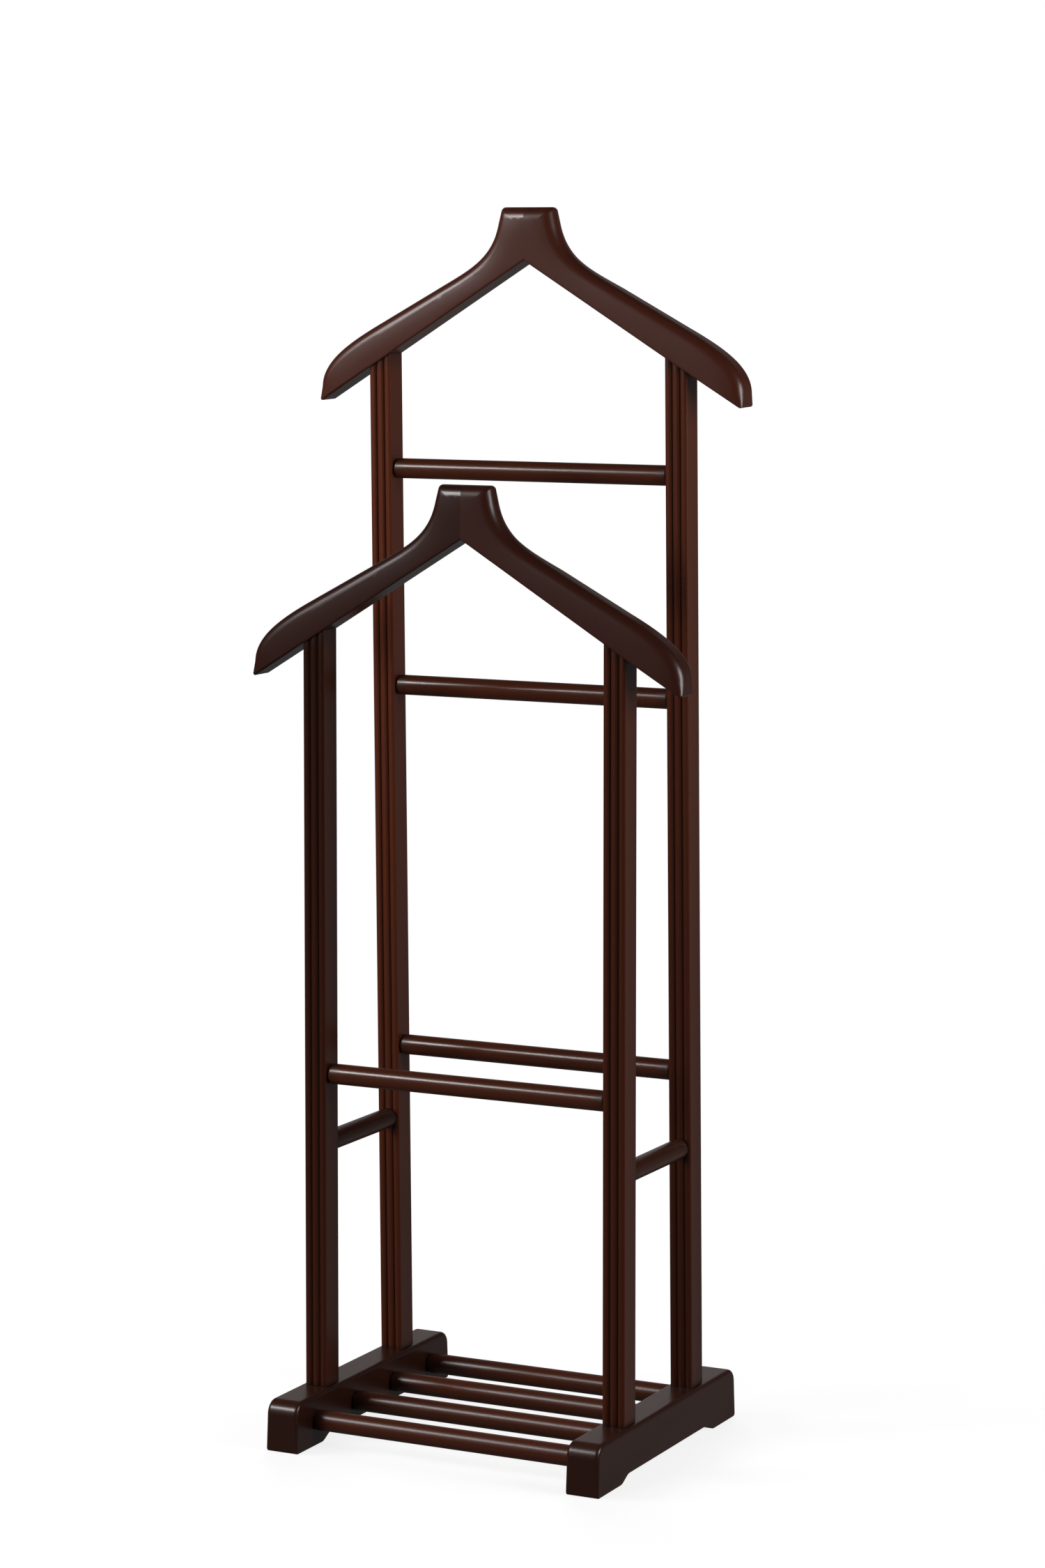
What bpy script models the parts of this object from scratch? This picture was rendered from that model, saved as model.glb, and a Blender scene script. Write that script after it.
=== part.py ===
"""Double valet stand: a tall rear frame and a short front frame standing on two runners.

Units are metres. +Z is up, +X is the stand's right and -Y is its front. The origin is on the
floor, under the middle of the stand.

Each frame is built in its own upright coordinates, under an empty at the middle of its foot
line on top of the runners. The rear frame's empty leans a little towards the front frame.
"""
import math

import bmesh
import bpy
from mathutils import Matrix, Vector

# Clearance between pieces that touch, and the length by which cutters overrun.
GAP = 0.0003
OVERRUN = 0.02

# Edges that turn by more than this are shaded sharp.
SHARP_ANGLE = math.radians(40)

# Layout
POST_PITCH_X = 0.306
POST_PITCH_Y = 0.147
REAR_LEAN = math.radians(1.1)

# Runners
RUNNER_LENGTH = 0.300
RUNNER_HEIGHT = 0.047
RUNNER_WIDTH = 0.032
RUNNER_TOP_RADIUS = 0.010
RUNNER_TOE_RADIUS = 0.003
RUNNER_EDGE_ROUND = 0.0028
FOOT_PAD_LENGTH = 0.048
ARCH_HEIGHT = 0.0066
ARCH_SHOULDER = 0.018
ARCH_EASE = 0.45
FLOOR_EDGE_SHARE = 0.35

# Posts
POST_WIDTH = 0.022
POST_DEPTH = 0.025
REED_WIDTHS = (0.0068, 0.0076, 0.0068)
REED_RISE = 0.0015
QUIRK_WIDTH = 0.0004
QUIRK_DEPTH = 0.0005
POST_TOP_ALLOWANCE = 0.012

# Hangers, measured from the apex of the underside
HANGER_THICKNESS = 0.028
HANGER_HALF_WIDTH = 0.2185
HANGER_UNDERSIDE_SLOPE = 0.616
HANGER_TOP_SLOPE = 0.537
NECK_HEIGHT = 0.049
NECK_HALF_WIDTH = 0.0279
NECK_CORNER_RADIUS = 0.003
NECK_CURVE_HANDLES = ((0.0550, -0.0057), (0.0299, 0.0050))
NECK_END = (0.092, -0.0256)
ARM_END_X = 0.160
TIP_TOP_Z = -0.120
END_CURVE_RISE = 0.022
END_CURVE_HANDLE = (0.1952, -0.0810)
TIP_RADIUS = 0.0025
UPPER_ROUND = 0.008
LOWER_ROUND = 0.002
FRONT_APEX_Z = 0.794
REAR_APEX_Z = 1.0446

# Round rails, stretchers and shoe bars
DOWEL_RADIUS = 0.0095
DOWEL_SHOULDER_ROUND = 0.0025
TENON_RADIUS = 0.006
TENON_LENGTH = 0.012
REAR_RAIL_HEIGHTS = {"rear_upper_rail": 0.8484, "rear_middle_rail": 0.6426, "rear_lower_rail": 0.2964}
FRONT_RAIL_HEIGHTS = {"front_lower_rail": 0.2929}
STRETCHER_Z = 0.273
SHOE_BAR_COUNT = 4
SHOE_BAR_PITCH = 0.074
SHOE_BAR_Z = 0.0235

# Hidden joinery
PIN_RADIUS = 0.004
PIN_CHAMFER = 0.0008
NECK_PIN_LENGTH = 0.030
NECK_PIN_HEIGHTS = {"lower": 0.014, "upper": 0.033}
TOP_PIN_LENGTH = 0.036
TOP_PIN_IN_HANGER = 0.016
FOOT_PIN_LENGTH = 0.036
FOOT_PIN_IN_RUNNER = 0.016
FOOT_PIN_Y = -0.0045
SCREW_Y = 0.0062
SCREW_SHANK_RADIUS = 0.0022
SCREW_HEAD_RADIUS = 0.0042
SCREW_HEAD_HEIGHT = 0.0028
SCREW_RIM = 0.0006
SCREW_SEAT_Z = 0.0165
SCREW_LENGTH = 0.058
SCREW_TIP_LENGTH = 0.006
SCREW_BORE_RADIUS = 0.0052
HEX_SOCKET_RADIUS = 0.0020
HEX_SOCKET_DEPTH = 0.0016

# Facets
DOWEL_SEGMENTS = 20
PIN_SEGMENTS = 12
BORE_SEGMENTS = 12
SOCKET_SEGMENTS = 6
REED_SEGMENTS = 5
ARC_SEGMENTS = 4
TIP_SEGMENTS = 2
CURVE_SEGMENTS = 10
ROUND_SEGMENTS = 3

FINISHES = {
    "post_wood": ((0.055, 0.016, 0.008), 0.30),
    "hanger_wood": ((0.050, 0.014, 0.009), 0.28),
    "rail_wood": ((0.070, 0.018, 0.008), 0.28),
    "runner_wood": ((0.045, 0.016, 0.010), 0.32),
    "pin_wood": ((0.550, 0.380, 0.220), 0.60),
    "screw_steel": ((0.560, 0.560, 0.540), 0.35),
}


# ---------------------------------------------------------------- scene and objects

def clear_scene():
    for obj in list(bpy.data.objects):
        bpy.data.objects.remove(obj, do_unlink=True)


def new_collection(name):
    collection = bpy.data.collections.new(name)
    bpy.context.scene.collection.children.link(collection)
    return collection


def make_material(name):
    color, roughness = FINISHES[name]
    material = bpy.data.materials.new(name)
    material.use_nodes = True
    shader = material.node_tree.nodes["Principled BSDF"]
    shader.inputs["Base Color"].default_value = (*color, 1.0)
    shader.inputs["Roughness"].default_value = roughness
    shader.inputs["Metallic"].default_value = 1.0 if name == "screw_steel" else 0.0
    return material


def add_empty(name, location, tilt=0.0):
    """An empty that carries a frame; tilt leans its +Z towards the front."""
    empty = bpy.data.objects.new(name, None)
    empty.location = location
    empty.rotation_euler = (tilt, 0.0, 0.0)
    PARTS.objects.link(empty)
    return empty


def add_part(name, mesh, finish, parent=None, location=(0.0, 0.0, 0.0), rotation=(0.0, 0.0, 0.0)):
    obj = bpy.data.objects.new(name, mesh)
    mesh.name = name
    obj.parent = parent
    obj.location = location
    obj.rotation_euler = rotation
    if not mesh.materials:
        mesh.materials.append(MATERIALS[finish])
    PARTS.objects.link(obj)
    return obj


def add_cutter(name, mesh, parent=None):
    obj = bpy.data.objects.new(name, mesh)
    obj.parent = parent
    obj.display_type = "WIRE"
    obj.hide_render = True
    CUTTERS.objects.link(obj)
    return obj


def cut(obj, *cutters):
    for cutter in cutters:
        modifier = obj.modifiers.new(cutter.name, "BOOLEAN")
        modifier.operation = "DIFFERENCE"
        modifier.solver = "EXACT"
        modifier.object = cutter


# ---------------------------------------------------------------- outlines and meshes

def arc(center, radius, start, end, segments):
    """Points on an arc from start to end, in degrees, both ends included."""
    points = []
    for index in range(segments + 1):
        angle = math.radians(start + (end - start) * index / segments)
        points.append((center[0] + radius * math.cos(angle), center[1] + radius * math.sin(angle)))
    return points


def bezier(p0, p1, p2, p3, segments):
    """Points on a cubic curve, both ends included."""
    points = []
    for index in range(segments + 1):
        t = index / segments
        weights = ((1 - t) ** 3, 3 * t * (1 - t) ** 2, 3 * t * t * (1 - t), t ** 3)
        x = sum(w * p[0] for w, p in zip(weights, (p0, p1, p2, p3)))
        y = sum(w * p[1] for w, p in zip(weights, (p0, p1, p2, p3)))
        points.append((x, y))
    return points


def plate_mesh(points, thickness):
    """A flat outline in XY, extruded along Z about its middle, as a closed mesh with n-gon ends."""
    curve = bpy.data.curves.new("outline", "CURVE")
    curve.dimensions = "2D"
    curve.fill_mode = "BOTH"
    curve.extrude = thickness / 2
    spline = curve.splines.new("POLY")
    spline.points.add(len(points) - 1)
    for point, (x, y) in zip(spline.points, points):
        point.co = (x, y, 0.0, 1.0)
    spline.use_cyclic_u = True
    carrier = bpy.data.objects.new("outline", curve)
    bpy.context.scene.collection.objects.link(carrier)
    evaluated = carrier.evaluated_get(bpy.context.evaluated_depsgraph_get())
    mesh = bpy.data.meshes.new_from_object(evaluated)
    bpy.data.objects.remove(carrier, do_unlink=True)
    bm = bmesh.new()
    bm.from_mesh(mesh)
    bmesh.ops.remove_doubles(bm, verts=bm.verts, dist=0.00001)
    inner = [e for e in bm.edges if len(e.link_faces) == 2 and e.calc_face_angle(0.0) < 0.001]
    bmesh.ops.dissolve_edges(bm, edges=inner)
    bmesh.ops.recalc_face_normals(bm, faces=bm.faces)
    bm.to_mesh(mesh)
    bm.free()
    return mesh


def turn_mesh(mesh, rotation):
    mesh.transform(rotation)
    return mesh


def set_bevel_weights(mesh, weight_of):
    """Give each edge the weight that weight_of returns for its middle and its direction."""
    bm = bmesh.new()
    bm.from_mesh(mesh)
    layer = bm.edges.layers.float.new("bevel_weight_edge")
    for edge in bm.edges:
        a, b = (vert.co for vert in edge.verts)
        edge[layer] = weight_of((a + b) / 2, (b - a).normalized())
    bm.to_mesh(mesh)
    bm.free()


def round_edges(obj, width, segments):
    modifier = obj.modifiers.new("rounding", "BEVEL")
    modifier.limit_method = "WEIGHT"
    modifier.offset_type = "OFFSET"
    modifier.width = width
    modifier.segments = segments
    modifier.use_clamp_overlap = True


def shade_round(mesh):
    mesh.shade_smooth()
    mesh.set_sharp_from_angle(angle=SHARP_ANGLE)


def box_mesh(low, high):
    bm = bmesh.new()
    size = Vector(high) - Vector(low)
    middle = (Vector(high) + Vector(low)) / 2
    bmesh.ops.create_cube(bm, size=1.0, matrix=Matrix.Translation(middle) @ Matrix.Diagonal((*size, 1.0)))
    mesh = bpy.data.meshes.new("box")
    bm.to_mesh(mesh)
    bm.free()
    return mesh


def cylinders_mesh(rods, segments):
    """Separate closed cylinders, each given as (start, end, radius), with a facet to each axis."""
    bm = bmesh.new()
    half_step = Matrix.Rotation(math.pi / segments, 4, "Z")
    for start, end, radius in rods:
        start = Vector(start)
        end = Vector(end)
        turn = (end - start).to_track_quat("Z", "Y").to_matrix().to_4x4()
        bmesh.ops.create_cone(
            bm,
            cap_ends=True,
            segments=segments,
            radius1=radius,
            radius2=radius,
            depth=(end - start).length,
            matrix=Matrix.Translation((start + end) / 2) @ turn @ half_step,
        )
    mesh = bpy.data.meshes.new("cylinders")
    bm.to_mesh(mesh)
    bm.free()
    return mesh


def profile_mesh(profile):
    """An open line of points (radius, height) for a Screw modifier, top to bottom."""
    mesh = bpy.data.meshes.new("profile")
    verts = [(radius, 0.0, height) for radius, height in profile]
    edges = [(index, index + 1) for index in range(len(verts) - 1)]
    mesh.from_pydata(verts, edges, [])
    return mesh


def turn_on_lathe(obj, segments):
    modifier = obj.modifiers.new("lathe", "SCREW")
    modifier.axis = "Z"
    modifier.angle = math.tau
    modifier.steps = segments
    modifier.render_steps = segments
    modifier.use_merge_vertices = True
    modifier.merge_threshold = 0.00001
    modifier.use_smooth_shade = True


# ---------------------------------------------------------------- runners

def runner_outline():
    """The runner from the side, as (y, z): flat foot pads, arched between them."""
    half = RUNNER_LENGTH / 2
    pad_end = half - FOOT_PAD_LENGTH
    arch_start = pad_end - ARCH_SHOULDER
    top = RUNNER_HEIGHT
    big = RUNNER_TOP_RADIUS
    toe = RUNNER_TOE_RADIUS
    reach = ARCH_SHOULDER * ARCH_EASE
    rear = arc((half - toe, toe), toe, -90, 0, 3)
    rear += arc((half - big, top - big), big, 0, 90, 2 * ARC_SEGMENTS)
    shoulder = bezier(
        (arch_start, ARCH_HEIGHT),
        (arch_start + reach, ARCH_HEIGHT),
        (pad_end - reach, 0.0),
        (pad_end, 0.0),
        6,
    )
    rear_half = shoulder + rear
    front_half = [(-y, z) for y, z in reversed(rear_half)]
    return rear_half + front_half


def runner_weight(middle, direction):
    """Round the runner's long outline edges, less along the floor."""
    if abs(direction.x) > 0.5:
        return 0.0
    return FLOOR_EDGE_SHARE if middle.z < ARCH_HEIGHT + 0.001 else 1.0


def add_runner(name, x):
    mesh = plate_mesh(runner_outline(), RUNNER_WIDTH)
    turn_mesh(mesh, Matrix(((0, 0, 1, 0), (1, 0, 0, 0), (0, 1, 0, 0), (0, 0, 0, 1))))
    set_bevel_weights(mesh, runner_weight)
    shade_round(mesh)
    obj = add_part(name, mesh, "runner_wood", location=(x, 0.0, 0.0))
    round_edges(obj, RUNNER_EDGE_ROUND, 2)
    return obj


# ---------------------------------------------------------------- posts

def post_outline():
    """A post's section as (x, y): plain back and sides, three convex reeds down the front."""
    front = -POST_DEPTH / 2
    quirk_floor = front + REED_RISE + QUIRK_DEPTH
    points = [(POST_WIDTH / 2, POST_DEPTH / 2), (-POST_WIDTH / 2, POST_DEPTH / 2)]
    left = -POST_WIDTH / 2
    for width in REED_WIDTHS:
        if left > -POST_WIDTH / 2:
            points.append((left - QUIRK_WIDTH / 2, quirk_floor))
        radius = (width * width / 4 + REED_RISE * REED_RISE) / (2 * REED_RISE)
        spread = math.degrees(math.asin(width / 2 / radius))
        points += arc((left + width / 2, front + radius), radius, -90 - spread, -90 + spread, REED_SEGMENTS)
        left += width + QUIRK_WIDTH
    return points


def add_post(name, x, apex_z, frame):
    """A post from under the runner's top surface to above the hanger's underside, to be cut."""
    top = apex_z - HANGER_UNDERSIDE_SLOPE * (abs(x) - POST_WIDTH / 2) + POST_TOP_ALLOWANCE
    bottom = -POST_TOP_ALLOWANCE / 2
    mesh = plate_mesh(post_outline(), top - bottom)
    turn_mesh(mesh, Matrix.Translation((0.0, 0.0, (top + bottom) / 2)))
    shade_round(mesh)
    return add_part(name, mesh, "post_wood", parent=frame, location=(x, 0.0, 0.0))


# ---------------------------------------------------------------- hangers

def tip_center():
    """Centre of the small arc between a hanger arm's underside and its end."""
    x = HANGER_HALF_WIDTH - TIP_RADIUS
    slant = math.hypot(1.0, HANGER_UNDERSIDE_SLOPE)
    return x, TIP_RADIUS * slant - HANGER_UNDERSIDE_SLOPE * x


def hanger_outline():
    """The right half of a hanger as (x, z), from the apex of its underside."""
    arm_end = (ARM_END_X, NECK_END[1] - HANGER_TOP_SLOPE * (ARM_END_X - NECK_END[0]))
    tip_top = (HANGER_HALF_WIDTH, TIP_TOP_Z)
    center = tip_center()
    underside_angle = math.degrees(math.atan(HANGER_UNDERSIDE_SLOPE))
    points = [(GAP / 2, -HANGER_UNDERSIDE_SLOPE * GAP / 2)]
    points += arc(center, TIP_RADIUS, -90 - underside_angle, 0, TIP_SEGMENTS)
    tip_handle = (tip_top[0], tip_top[1] + END_CURVE_RISE)
    end_curve = bezier(tip_top, tip_handle, END_CURVE_HANDLE, arm_end, CURVE_SEGMENTS)
    neck_curve = bezier(NECK_END, *NECK_CURVE_HANDLES, (NECK_HALF_WIDTH, NECK_HEIGHT), CURVE_SEGMENTS)
    points += end_curve + neck_curve
    points.append((GAP / 2, NECK_HEIGHT))
    return points


def hanger_weight(middle, direction):
    """Round the top and the end of an arm well over, and the underside only a little."""
    if abs(direction.y) > 0.5:
        at_neck_corner = middle.z > NECK_HEIGHT - GAP and abs(middle.x) > NECK_HALF_WIDTH - GAP
        return NECK_CORNER_RADIUS / UPPER_ROUND if at_neck_corner else 0.0
    if abs(middle.x) < GAP:
        return 0.0
    lower = LOWER_ROUND / UPPER_ROUND
    center_x, center_z = tip_center()
    if middle.z < center_z + TIP_RADIUS:
        return lower
    on_underside = middle.z < -HANGER_UNDERSIDE_SLOPE * abs(middle.x) + TIP_RADIUS
    if on_underside:
        return lower
    fade = (middle.z - center_z - TIP_RADIUS) / (TIP_TOP_Z - center_z + 4 * TIP_RADIUS)
    return min(1.0, lower + max(0.0, fade) * (1.0 - lower)) if abs(middle.x) > ARM_END_X else 1.0


def add_hanger_half(name, side, apex_z, frame):
    mesh = plate_mesh([(side * x, z) for x, z in hanger_outline()], HANGER_THICKNESS)
    turn_mesh(mesh, Matrix.Rotation(math.radians(90), 4, "X"))
    set_bevel_weights(mesh, hanger_weight)
    shade_round(mesh)
    obj = add_part(name, mesh, "hanger_wood", parent=frame, location=(0.0, 0.0, apex_z))
    round_edges(obj, UPPER_ROUND, ROUND_SEGMENTS)
    return obj


def hanger_seat_mesh(apex_z):
    """The space over a hanger's underside, which trims the tops of the posts."""
    reach = HANGER_HALF_WIDTH
    drop = HANGER_UNDERSIDE_SLOPE * reach
    lift = apex_z - GAP
    top = lift + NECK_HEIGHT
    outline = [(0.0, lift), (reach, lift - drop), (reach, top), (-reach, top), (-reach, lift - drop)]
    mesh = plate_mesh(outline, HANGER_THICKNESS + OVERRUN)
    return turn_mesh(mesh, Matrix.Rotation(math.radians(90), 4, "X"))


# ---------------------------------------------------------------- rails, stretchers and shoe bars

def dowel_profile(length):
    """Half section of a round stick of the given shoulder-to-shoulder length, with its tenons."""
    half = length / 2
    upper = [(0.0, half + TENON_LENGTH), (TENON_RADIUS, half + TENON_LENGTH), (TENON_RADIUS, half)]
    inner = DOWEL_RADIUS - DOWEL_SHOULDER_ROUND
    for radius, height in arc((inner, half - DOWEL_SHOULDER_ROUND), DOWEL_SHOULDER_ROUND, 90, 0, 3):
        upper.append((radius, height))
    lower = [(radius, -height) for radius, height in reversed(upper)]
    return upper + lower


def add_dowel(name, start, end, parent=None):
    """A round stick with its shoulders at start and end."""
    start = Vector(start)
    end = Vector(end)
    along = end - start
    rotation = along.to_track_quat("Z", "Y").to_euler()
    mesh = profile_mesh(dowel_profile(along.length))
    obj = add_part(name, mesh, "rail_wood", parent=parent, location=(start + end) / 2, rotation=rotation)
    turn_on_lathe(obj, DOWEL_SEGMENTS)
    return obj


def tenon_bore(start, end):
    """The bore that takes a stick's tenons, as one rod from blind end to blind end."""
    start = Vector(start)
    end = Vector(end)
    extra = (end - start).normalized() * (TENON_LENGTH + GAP)
    return start - extra, end + extra, TENON_RADIUS + GAP


# ---------------------------------------------------------------- frames

def pin_profile(length):
    half = length / 2
    narrow = PIN_RADIUS - PIN_CHAMFER
    upper = [(0.0, half), (narrow, half), (PIN_RADIUS, half - PIN_CHAMFER)]
    return upper + [(radius, -height) for radius, height in reversed(upper)]


def add_pin(name, start, end, frame):
    along = Vector(end) - Vector(start)
    rotation = along.to_track_quat("Z", "Y").to_euler()
    middle = (Vector(start) + Vector(end)) / 2
    mesh = profile_mesh(pin_profile(along.length))
    pin = add_part(name, mesh, "pin_wood", parent=frame, location=middle, rotation=rotation)
    turn_on_lathe(pin, PIN_SEGMENTS)


def pin_bores(pins):
    """Each pin's bore, a little longer and wider than the pin."""
    bores = []
    for start, end in pins.values():
        extra = (Vector(end) - Vector(start)).normalized() * GAP
        bores.append((Vector(start) - extra, Vector(end) + extra, PIN_RADIUS + GAP))
    return bores


def screw_profile():
    """A countersunk screw, head down at the origin and tip up."""
    shank_top = SCREW_LENGTH - SCREW_TIP_LENGTH
    return [
        (0.0, SCREW_LENGTH),
        (SCREW_SHANK_RADIUS, shank_top),
        (SCREW_SHANK_RADIUS, SCREW_HEAD_HEIGHT),
        (SCREW_HEAD_RADIUS, SCREW_RIM),
        (SCREW_HEAD_RADIUS, 0.0),
        (0.0, 0.0),
    ]


def build_frame(prefix, base_y, lean, apex_z, rail_heights):
    """One frame: two posts, a hanger in two halves, its rails and its hidden pins.

    Returns the frame's posts and the cutters for its bores in the runners.
    """
    frame = add_empty(prefix + "_frame", (0.0, base_y, RUNNER_HEIGHT), lean)
    post_x = POST_PITCH_X / 2
    inner_x = post_x - POST_WIDTH / 2 - GAP
    post_top_z = apex_z - HANGER_UNDERSIDE_SLOPE * post_x

    posts = [
        add_post(prefix + "_post_left", -post_x, apex_z, frame),
        add_post(prefix + "_post_right", post_x, apex_z, frame),
    ]
    halves = [
        add_hanger_half(prefix + "_hanger_left", -1, apex_z, frame),
        add_hanger_half(prefix + "_hanger_right", 1, apex_z, frame),
    ]

    rail_bores = []
    for name, height in rail_heights.items():
        ends = ((-inner_x, 0.0, height), (inner_x, 0.0, height))
        add_dowel(name, *ends, parent=frame)
        rail_bores.append(tenon_bore(*ends))

    pin_reach = NECK_PIN_LENGTH / 2
    pins = {}
    for label, height in NECK_PIN_HEIGHTS.items():
        z = apex_z + height
        pins["neck_pin_" + label] = ((-pin_reach, 0.0, z), (pin_reach, 0.0, z))
    for label, x in (("left", -post_x), ("right", post_x)):
        top = post_top_z + TOP_PIN_IN_HANGER
        bottom = -FOOT_PIN_IN_RUNNER
        pins["top_pin_" + label] = ((x, 0.0, top - TOP_PIN_LENGTH), (x, 0.0, top))
        pins["foot_pin_" + label] = ((x, FOOT_PIN_Y, bottom), (x, FOOT_PIN_Y, bottom + FOOT_PIN_LENGTH))
    for label, ends in pins.items():
        add_pin(prefix + "_" + label, *ends, frame)

    seat = add_cutter(prefix + "_hanger_seat", hanger_seat_mesh(apex_z), frame)
    rail_cutter = add_cutter(prefix + "_rail_bores", cylinders_mesh(rail_bores, BORE_SEGMENTS), frame)
    pin_cutter = add_cutter(prefix + "_pin_bores", cylinders_mesh(pin_bores(pins), BORE_SEGMENTS), frame)
    shank_cutter, head_cutter = add_screws(prefix, frame)
    for post in posts:
        cut(post, seat, rail_cutter, pin_cutter, shank_cutter)
    for half in halves:
        cut(half, pin_cutter)
    return posts, (pin_cutter, shank_cutter, head_cutter)


def add_screws(prefix, frame):
    """A frame's two screws, up through the runners into its posts. Returns the bores they need."""
    seat_z = SCREW_SEAT_Z - RUNNER_HEIGHT
    mouth_z = -RUNNER_HEIGHT - OVERRUN
    shanks = []
    heads = []
    sockets = []
    screws = []
    for label, x in (("left", -POST_PITCH_X / 2), ("right", POST_PITCH_X / 2)):
        mesh = profile_mesh(screw_profile())
        location = (x, SCREW_Y, seat_z)
        screw = add_part(prefix + "_screw_" + label, mesh, "screw_steel", parent=frame, location=location)
        turn_on_lathe(screw, PIN_SEGMENTS)
        screws.append(screw)
        tip = (x, SCREW_Y, seat_z + SCREW_LENGTH + GAP)
        mouth = (x, SCREW_Y, mouth_z)
        head_top = (x, SCREW_Y, seat_z + SCREW_HEAD_HEIGHT + GAP)
        shanks.append((mouth, tip, SCREW_SHANK_RADIUS + GAP))
        heads.append((mouth, head_top, SCREW_BORE_RADIUS))
        socket_top = (x, SCREW_Y, seat_z + HEX_SOCKET_DEPTH)
        sockets.append((mouth, socket_top, HEX_SOCKET_RADIUS))
    socket_cutter = add_cutter(prefix + "_hex_sockets", cylinders_mesh(sockets, SOCKET_SEGMENTS), frame)
    for screw in screws:
        cut(screw, socket_cutter)
    shank_cutter = add_cutter(prefix + "_shank_bores", cylinders_mesh(shanks, BORE_SEGMENTS), frame)
    head_cutter = add_cutter(prefix + "_head_bores", cylinders_mesh(heads, BORE_SEGMENTS), frame)
    return shank_cutter, head_cutter


def rear_face_y(z):
    """Where the crests of the rear posts' reeds are at height z, on the leaning rear frame."""
    height = z - RUNNER_HEIGHT
    return POST_PITCH_Y / 2 - POST_DEPTH / 2 / math.cos(REAR_LEAN) - height * math.tan(REAR_LEAN)


def build():
    front_posts, front_bores = build_frame(
        "front", -POST_PITCH_Y / 2, 0.0, FRONT_APEX_Z, FRONT_RAIL_HEIGHTS)
    rear_posts, rear_bores = build_frame(
        "rear", POST_PITCH_Y / 2, REAR_LEAN, REAR_APEX_Z, REAR_RAIL_HEIGHTS)
    runners = [
        add_runner("runner_left", -POST_PITCH_X / 2),
        add_runner("runner_right", POST_PITCH_X / 2),
    ]

    stretcher_bores = []
    start_y = -POST_PITCH_Y / 2 + POST_DEPTH / 2 + GAP
    end_y = rear_face_y(STRETCHER_Z + DOWEL_RADIUS) - GAP
    for name, x in (("side_stretcher_left", -POST_PITCH_X / 2), ("side_stretcher_right", POST_PITCH_X / 2)):
        ends = ((x, start_y, STRETCHER_Z), (x, end_y, STRETCHER_Z))
        add_dowel(name, *ends)
        stretcher_bores.append(tenon_bore(*ends))
    stretcher_cutter = add_cutter("stretcher_bores", cylinders_mesh(stretcher_bores, BORE_SEGMENTS))

    bar_bores = []
    inner_x = POST_PITCH_X / 2 - RUNNER_WIDTH / 2 - GAP
    for index in range(SHOE_BAR_COUNT):
        y = (index - (SHOE_BAR_COUNT - 1) / 2) * SHOE_BAR_PITCH
        ends = ((-inner_x, y, SHOE_BAR_Z), (inner_x, y, SHOE_BAR_Z))
        add_dowel("shoe_bar_%d" % (index + 1), *ends)
        bar_bores.append(tenon_bore(*ends))
    bar_cutter = add_cutter("shoe_bar_bores", cylinders_mesh(bar_bores, BORE_SEGMENTS))

    low = (-POST_PITCH_X, -POST_PITCH_Y, RUNNER_HEIGHT - 2 * POST_TOP_ALLOWANCE)
    high = (POST_PITCH_X, POST_PITCH_Y, RUNNER_HEIGHT + GAP)
    foot_line = add_cutter("post_foot_line", box_mesh(low, high))

    for post in front_posts + rear_posts:
        cut(post, stretcher_cutter, foot_line)
    for runner in runners:
        cut(runner, bar_cutter, *front_bores, *rear_bores)


clear_scene()
PARTS = new_collection("valet_stand")
CUTTERS = new_collection("valet_stand_cutters")
MATERIALS = {name: make_material(name) for name in FINISHES}
build()
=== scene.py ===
"""The looks of the double valet stand: fine meshes and lacquered-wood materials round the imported
frame, with a pale floor, soft studio light and the camera.

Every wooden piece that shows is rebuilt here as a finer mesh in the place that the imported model
gives it. The dowel pins and screws stay as packed, with better materials.
"""
import math

import bmesh
import bpy
from mathutils import Matrix, Vector


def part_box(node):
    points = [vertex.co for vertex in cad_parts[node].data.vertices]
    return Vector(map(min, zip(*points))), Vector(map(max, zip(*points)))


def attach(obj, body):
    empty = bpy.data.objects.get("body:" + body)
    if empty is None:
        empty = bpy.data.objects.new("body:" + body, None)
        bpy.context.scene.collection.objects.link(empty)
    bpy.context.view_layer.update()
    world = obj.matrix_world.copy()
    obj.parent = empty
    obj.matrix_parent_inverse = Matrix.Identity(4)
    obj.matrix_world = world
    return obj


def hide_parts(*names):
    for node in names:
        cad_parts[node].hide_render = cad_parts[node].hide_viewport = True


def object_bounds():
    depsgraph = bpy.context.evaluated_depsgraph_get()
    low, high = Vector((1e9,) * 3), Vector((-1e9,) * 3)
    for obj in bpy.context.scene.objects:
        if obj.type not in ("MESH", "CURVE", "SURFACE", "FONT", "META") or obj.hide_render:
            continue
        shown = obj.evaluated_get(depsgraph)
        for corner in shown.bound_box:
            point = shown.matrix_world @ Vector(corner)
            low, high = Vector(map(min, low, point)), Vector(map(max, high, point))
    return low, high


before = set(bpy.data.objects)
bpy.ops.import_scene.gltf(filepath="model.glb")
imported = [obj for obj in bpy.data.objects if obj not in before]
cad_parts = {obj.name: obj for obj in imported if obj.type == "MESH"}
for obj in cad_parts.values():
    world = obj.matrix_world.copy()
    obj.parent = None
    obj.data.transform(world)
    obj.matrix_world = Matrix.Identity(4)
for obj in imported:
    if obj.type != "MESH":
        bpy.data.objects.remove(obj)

cad_low, cad_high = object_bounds()

# ---------------------------------------------------------------- sizes, in metres

# Clearance between pieces that touch, and between the glued halves of a hanger.
GAP = 0.0003
GLUE_LINE = 0.00002

# Round stock, which ends in a rounded shoulder and a tenon.
SHOULDER_ROUND = 0.0025
TENON_RADIUS = 0.006
TENON_LENGTH = 0.012
TENON_CHAMFER = 0.001

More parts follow.
